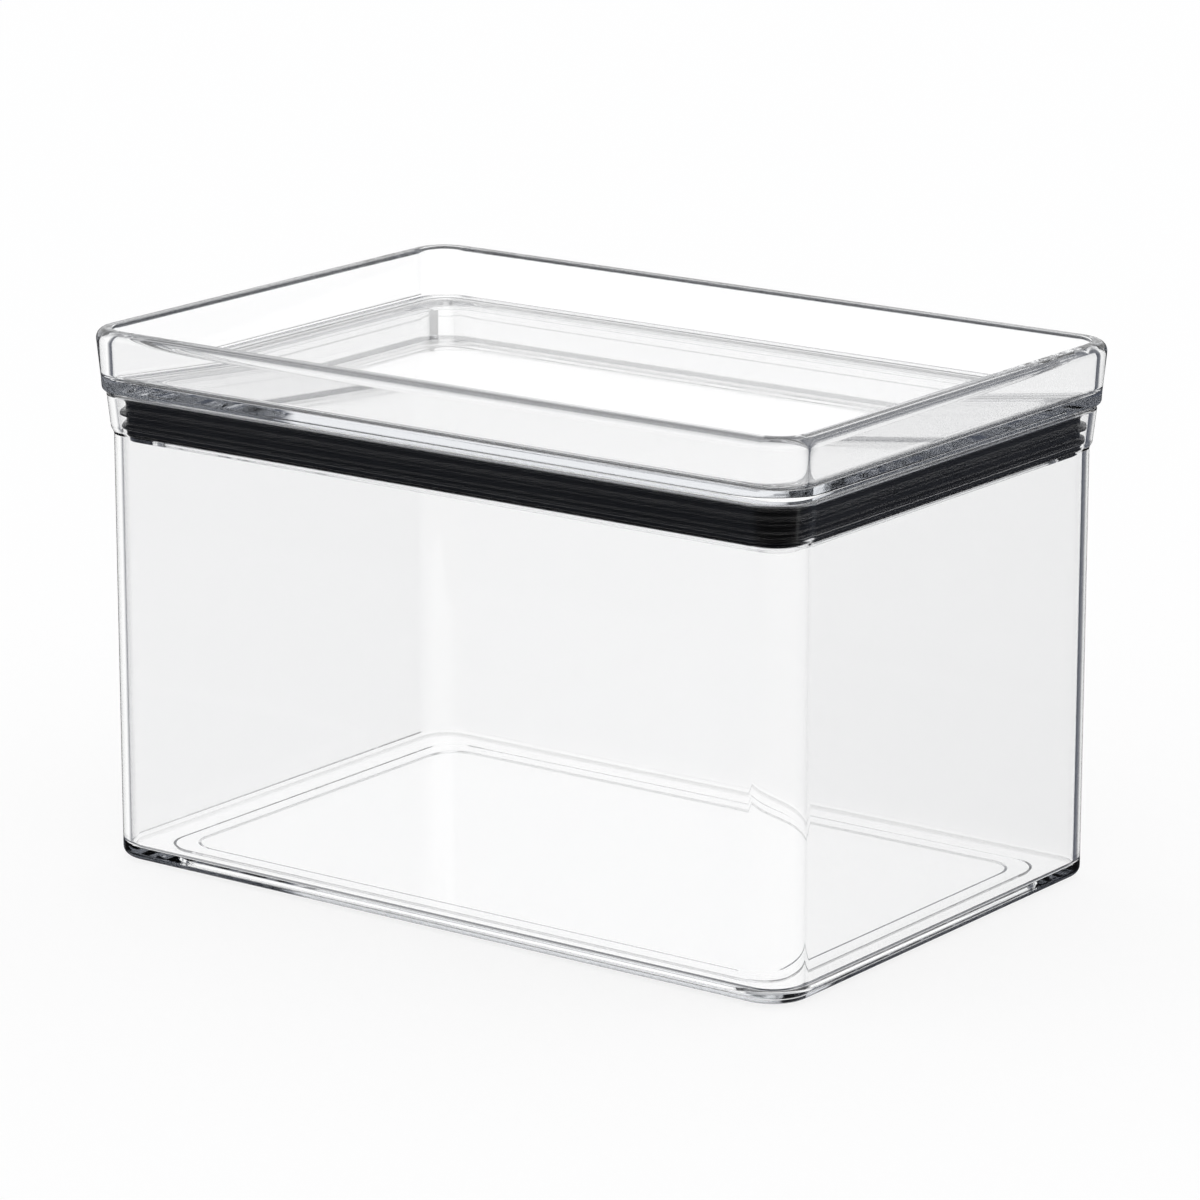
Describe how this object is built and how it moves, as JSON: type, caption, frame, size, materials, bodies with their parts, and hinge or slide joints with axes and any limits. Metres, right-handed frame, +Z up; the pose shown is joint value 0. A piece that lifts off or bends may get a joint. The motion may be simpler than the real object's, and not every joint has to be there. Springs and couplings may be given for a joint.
{
  "type": "storage container",
  "caption": "Clear rectangular storage box with a flared collar and a lift-off lid, whose raised rim makes it a tray and whose plug carries a black ribbed seal.",
  "frame": {"origin": "on the table, under the middle of the container", "axes": "+X along the length, +Y along the width, +Z up"},
  "size_m": [0.25, 0.168, 0.16],
  "materials": {
    "clear_body": "clear gloss",
    "clear_lid": "clear gloss",
    "black_seal": "satin"
  },
  "bodies": {
    "container": {"container_body": "clear_body"},
    "lid": {"lid_tray": "clear_lid", "lid_seal": "black_seal", "seal_frame": "clear_lid"}
  },
  "joints": [
    {"name": "lid_lift", "type": "slide", "parent": "container", "child": "lid", "axis": [0, 0, 1], "range_m": [0, 0.15]}
  ]
}
